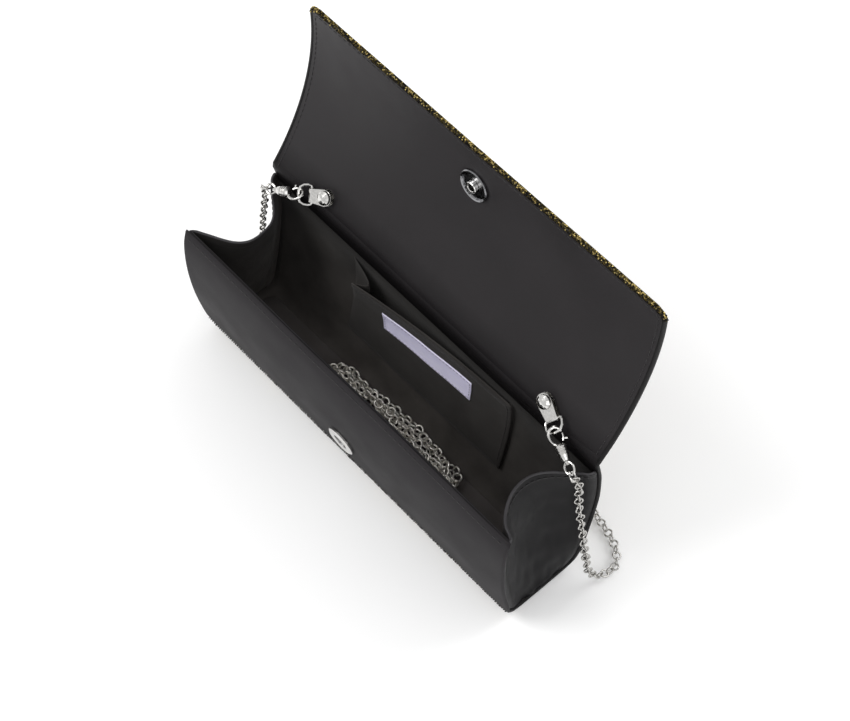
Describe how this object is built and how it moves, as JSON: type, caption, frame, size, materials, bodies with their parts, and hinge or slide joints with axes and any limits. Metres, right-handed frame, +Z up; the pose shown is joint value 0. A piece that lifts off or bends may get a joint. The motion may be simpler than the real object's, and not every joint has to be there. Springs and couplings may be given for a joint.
{
  "type": "evening bag",
  "caption": "Long flap-over evening bag standing open, with folded gussets, slip pocket, magnetic snap and a detachable chain handle.",
  "frame": {"origin": "middle of the flat base, on its underside", "axes": "+Z up with the bag standing, +X along the bag, -Y towards the front panel"},
  "size_m": [0.2681, 0.097, 0.2063],
  "materials": {
    "glitter_fabric": "metallic glitter on cloth backing",
    "leather": "smooth satin",
    "lining": "matt fine weave",
    "label": "woven satin",
    "nickel": "polished",
    "board": "matt",
    "magnet": "satin"
  },
  "bodies": {
    "bag": {"back_shell": "glitter_fabric", "back_lining": "lining", "base_board": "board", "gusset_left": "lining", "gusset_right": "lining", "pocket_front": "lining", "pocket_gusset_left": "lining", "pocket_gusset_right": "lining", "label": "label", "handle_chain": "nickel", "stowed_chain": "nickel", "stowed_clasp_a": "nickel", "stowed_clasp_b": "nickel"},
    "front": {"front_panel": "leather", "front_facing": "leather", "front_lining": "lining", "snap_socket": "nickel", "snap_magnet": "magnet"},
    "flap": {"flap_shell": "glitter_fabric", "flap_board": "board", "flap_lining": "leather", "flap_rim": "glitter_fabric", "snap_stud": "nickel", "snap_post": "nickel", "rivet_left": "nickel", "rivet_right": "nickel", "rivet_cap_left": "nickel", "rivet_cap_right": "nickel"},
    "tab_left": {"tab_left": "nickel"},
    "ring_left": {"ring_left": "nickel"},
    "clasp_left": {"clasp_left": "nickel"},
    "gate_left": {"gate_left": "nickel"},
    "eye_left": {"eye_left": "nickel", "jump_ring_left": "nickel"},
    "tab_right": {"tab_right": "nickel"},
    "ring_right": {"ring_right": "nickel"},
    "clasp_right": {"clasp_right": "nickel"},
    "gate_right": {"gate_right": "nickel"},
    "eye_right": {"eye_right": "nickel", "jump_ring_right": "nickel"}
  },
  "joints": [
    {"name": "flap_fold", "type": "hinge", "parent": "bag", "child": "flap", "pos_m": [0, 0.0235, 0.1029], "axis": [1, 0, 0], "range_deg": [0, 165]},
    {"name": "front_fold", "type": "hinge", "parent": "bag", "child": "front", "pos_m": [0, -0.0244, 0.0097], "axis": [-1, 0, 0], "range_deg": [0, 29.5], "deforming": ["gusset_left", "gusset_right"]},
    {"name": "tab_turn_left", "type": "hinge", "parent": "flap", "child": "tab_left", "pos_m": [-0.0805, 0.02867, 0.11026], "axis": [0, 0.8359, -0.5489], "range_deg": [0, 29]},
    {"name": "ring_swing_left", "type": "hinge", "parent": "tab_left", "child": "ring_left", "pos_m": [-0.08872, 0.02463, 0.10747], "axis": [0.4848, -0.4801, -0.7311], "range_deg": [-60, 0]},
    {"name": "clasp_swing_left", "type": "hinge", "parent": "ring_left", "child": "clasp_left", "pos_m": [-0.09432, 0.02025, 0.10663], "axis": [0.4848, -0.4801, -0.7311], "range_deg": [-35, 0]},
    {"name": "gate_open_left", "type": "hinge", "parent": "clasp_left", "child": "gate_left", "pos_m": [-0.09947, 0.02064, 0.10495], "axis": [0.3428, 0.2516, -0.9051], "range_deg": [0, 16], "stiffness_Nm_per_rad": 0.0006, "springref_deg": -11.46},
    {"name": "eye_spin_left", "type": "hinge", "parent": "clasp_left", "child": "eye_left", "pos_m": [-0.107, 0.01622, 0.10086], "axis": [-0.8746, -0.2661, -0.4052], "continuous": true},
    {"name": "tab_turn_right", "type": "hinge", "parent": "flap", "child": "tab_right", "pos_m": [0.0805, 0.02867, 0.11026], "axis": [0, -0.8359, 0.5489], "range_deg": [0, 29]},
    {"name": "ring_swing_right", "type": "hinge", "parent": "tab_right", "child": "ring_right", "pos_m": [0.08872, 0.02463, 0.10747], "axis": [0.4848, 0.4801, 0.7311], "range_deg": [-60, 0]},
    {"name": "clasp_swing_right", "type": "hinge", "parent": "ring_right", "child": "clasp_right", "pos_m": [0.09432, 0.02025, 0.10663], "axis": [0.4848, 0.4801, 0.7311], "range_deg": [-35, 0]},
    {"name": "gate_open_right", "type": "hinge", "parent": "clasp_right", "child": "gate_right", "pos_m": [0.09947, 0.02064, 0.10495], "axis": [0.3428, -0.2516, 0.9051], "range_deg": [0, 16], "stiffness_Nm_per_rad": 0.0006, "springref_deg": -11.46},
    {"name": "eye_spin_right", "type": "hinge", "parent": "clasp_right", "child": "eye_right", "pos_m": [0.107, 0.01622, 0.10086], "axis": [0.8746, -0.2661, -0.4052], "continuous": true}
  ],
  "couplings": [
    {"joint": "front_fold", "follows": "flap_fold", "ratio": 0.17818},
    {"joint": "tab_turn_left", "follows": "flap_fold", "ratio": 0.17545},
    {"joint": "tab_turn_right", "follows": "flap_fold", "ratio": 0.17545}
  ]
}
